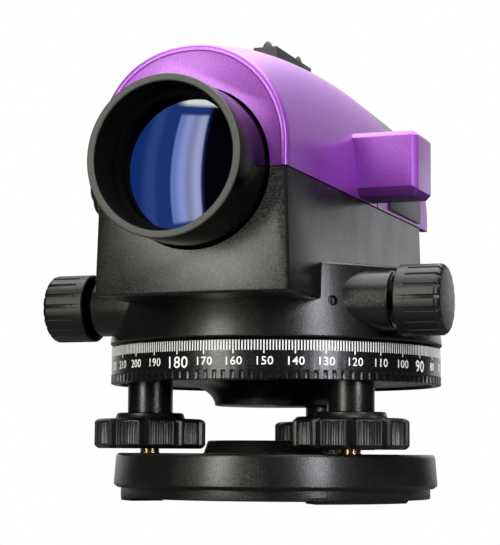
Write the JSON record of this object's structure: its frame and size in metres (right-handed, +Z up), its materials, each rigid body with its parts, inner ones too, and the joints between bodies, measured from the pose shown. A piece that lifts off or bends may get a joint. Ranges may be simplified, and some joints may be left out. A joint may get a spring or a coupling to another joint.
{
  "type": "automatic level",
  "caption": "Self-levelling surveying telescope on a graduated circle and a screw-levelled base, with focus, tangent and eyepiece drives.",
  "frame": {"origin": "centre of the bottom of the bounding box, in the plane the base rests on; the vertical axis passes through y = -9.75 mm", "axes": "+Z up along the vertical axis, -Y towards the objective, +X towards the bubble housing"},
  "size_m": [0.1298, 0.2054, 0.148],
  "materials": {
    "black_casting": "fine-grained black powder coat",
    "purple_cover": "satin pearl purple with a fine grain",
    "lens_hood_black": "satin black, worn grey on the rim",
    "black_plastic": "moulded satin plastic",
    "knob_grey": "dark grey matte plastic",
    "scale_black": "satin black with white graduations",
    "sight_grey": "dark grey moulded plastic",
    "brass": "turned",
    "steel": "ground",
    "aluminium": "machined",
    "coated_glass": "blue anti-reflection coating",
    "clear_glass": "polished",
    "mirror": "front-silvered",
    "rubber": "matte",
    "label": "blank satin foil"
  },
  "bodies": {
    "base": {"base_plate": "black_casting", "tripod_thread_insert": "brass", "spring_plate": "steel", "foot_seat_2": "steel", "foot_seat_3": "steel", "foot_collar_2": "brass", "foot_collar_3": "brass"},
    "pivot_seat": {"foot_seat_1": "steel"},
    "pivot_collar": {"foot_collar_1": "brass"},
    "tribrach": {"tribrach": "black_casting", "vertical_axle": "steel", "clutch_washer": "steel", "clutch_screw": "steel"},
    "ball_1": {"foot_ball_1": "steel"},
    "ball_2": {"foot_ball_2": "steel"},
    "ball_3": {"foot_ball_3": "steel"},
    "footscrew_1": {"footscrew_spindle_1": "brass", "footscrew_knob_1": "black_plastic"},
    "footscrew_2": {"footscrew_spindle_2": "brass", "footscrew_knob_2": "black_plastic"},
    "footscrew_3": {"footscrew_spindle_3": "brass", "footscrew_knob_3": "black_plastic"},
    "circle": {"horizontal_circle": "scale_black"},
    "clutch": {"worm_wheel": "brass"},
    "alidade": {"main_housing": "black_casting", "bearing_plate": "aluminium", "bearing_sleeve": "brass", "tangent_bush_left": "brass", "tangent_bush_right": "brass", "top_cover": "purple_cover", "rear_cover": "black_casting", "optical_sight": "sight_grey", "label_plate": "label", "vial_housing": "aluminium", "vial_glass": "clear_glass", "vial_mirror": "mirror", "lens_hood": "lens_hood_black", "objective_retaining_ring": "black_plastic", "objective_doublet": "coated_glass", "focus_guide_rod_1": "steel", "focus_guide_rod_2": "steel", "focus_bush": "brass", "compensator_frame": "aluminium", "damper_magnet": "steel", "eyepiece_sleeve": "aluminium", "reticle_glass": "clear_glass", "reticle_ring": "brass"},
    "tangent_drive": {"worm_shaft": "steel", "tangent_knob_left": "knob_grey", "tangent_knob_right": "knob_grey"},
    "focus_drive": {"focus_shaft": "steel", "focus_knob": "knob_grey"},
    "focus_carrier": {"focus_carriage": "aluminium", "focusing_lens": "coated_glass"},
    "compensator": {"pendulum": "brass", "pendulum_prism": "clear_glass"},
    "diopter": {"eyepiece_ring": "black_plastic", "eyecup": "rubber"},
    "eyepiece": {"eyepiece_cell": "brass", "eyepiece_lens": "clear_glass"}
  },
  "joints": [
    {"name": "tilt_3", "type": "hinge", "parent": "base", "child": "pivot_seat", "pos_m": [-0.03682, -0.02637, 0.0104], "axis": [0.9951, -0.0993, 0], "range_deg": [-1.42, 1.42]},
    {"name": "tilt_2", "type": "hinge", "parent": "pivot_seat", "child": "pivot_collar", "pos_m": [-0.03682, -0.02637, 0.0104], "axis": [-0.5835, -0.8121, 0], "range_deg": [-1.42, 1.42]},
    {"name": "tilt_1", "type": "hinge", "parent": "pivot_collar", "child": "tribrach", "pos_m": [0.03281, -0.03333, 0.0104], "axis": [-0.4115, 0.9114, 0], "range_deg": [-1.42, 1.42]},
    {"name": "travel_1", "type": "slide", "parent": "tribrach", "child": "ball_1", "axis": [0, 0, 1], "range_m": [-0.0015, 0.0015]},
    {"name": "footscrew_1_turn", "type": "hinge", "parent": "ball_1", "child": "footscrew_1", "pos_m": [-0.03682, -0.02637, 0.0104], "axis": [0, 0, 1], "range_deg": [-720, 720]},
    {"name": "travel_2", "type": "slide", "parent": "tribrach", "child": "ball_2", "axis": [0, 0, 1], "range_m": [-0.0015, 0.0015]},
    {"name": "footscrew_2_turn", "type": "hinge", "parent": "ball_2", "child": "footscrew_2", "pos_m": [0.03281, -0.03333, 0.0104], "axis": [0, 0, 1], "range_deg": [-720, 720]},
    {"name": "travel_3", "type": "slide", "parent": "tribrach", "child": "ball_3", "axis": [0, 0, 1], "range_m": [-0.0015, 0.0015]},
    {"name": "footscrew_3_turn", "type": "hinge", "parent": "ball_3", "child": "footscrew_3", "pos_m": [0.00401, 0.03045, 0.0104], "axis": [0, 0, 1], "range_deg": [-720, 720]},
    {"name": "circle_turn", "type": "hinge", "parent": "tribrach", "child": "circle", "pos_m": [0, -0.00975, 0.0425], "axis": [0, 0, 1], "continuous": true},
    {"name": "coarse_turn", "type": "hinge", "parent": "tribrach", "child": "clutch", "pos_m": [0, -0.00975, 0.0605], "axis": [0, 0, 1], "continuous": true},
    {"name": "fine_turn", "type": "hinge", "parent": "clutch", "child": "alidade", "pos_m": [0, -0.00975, 0.0605], "axis": [0, 0, 1], "continuous": true},
    {"name": "tangent_spin", "type": "hinge", "parent": "alidade", "child": "tangent_drive", "pos_m": [0, -0.0392, 0.0605], "axis": [1, 0, 0], "continuous": true},
    {"name": "focus_turn", "type": "hinge", "parent": "alidade", "child": "focus_drive", "pos_m": [-0.03, -0.02575, 0.1045], "axis": [1, 0, 0], "range_deg": [-150, 150]},
    {"name": "focus_travel", "type": "slide", "parent": "alidade", "child": "focus_carrier", "axis": [0, 1, 0], "range_m": [-0.008, 0.008]},
    {"name": "compensator_swing", "type": "hinge", "parent": "alidade", "child": "compensator", "pos_m": [0, 0.01425, 0.1146], "axis": [1, 0, 0], "range_deg": [-0.5, 0.5]},
    {"name": "diopter_turn", "type": "hinge", "parent": "alidade", "child": "diopter", "pos_m": [0, 0.09025, 0.0966], "axis": [0, 1, 0], "range_deg": [-180, 180]},
    {"name": "eyepiece_travel", "type": "slide", "parent": "alidade", "child": "eyepiece", "axis": [0, 1, 0], "range_m": [-0.0015, 0.0015]}
  ],
  "couplings": [
    {"joint": "footscrew_1_turn", "follows": "tilt_1", "ratio": -507.68},
    {"joint": "travel_1", "follows": "tilt_1", "m_per_rad": -0.0606},
    {"joint": "footscrew_2_turn", "follows": "tilt_2", "ratio": -507.68},
    {"joint": "travel_2", "follows": "tilt_2", "m_per_rad": -0.0606},
    {"joint": "footscrew_3_turn", "follows": "tilt_3", "ratio": -507.68},
    {"joint": "travel_3", "follows": "tilt_3", "m_per_rad": -0.0606},
    {"joint": "fine_turn", "follows": "tangent_spin", "ratio": 0.016667},
    {"joint": "focus_travel", "follows": "focus_turn", "m_per_rad": 0.003},
    {"joint": "diopter_turn", "follows": "eyepiece_travel", "rad_per_m": 2094.4}
  ]
}
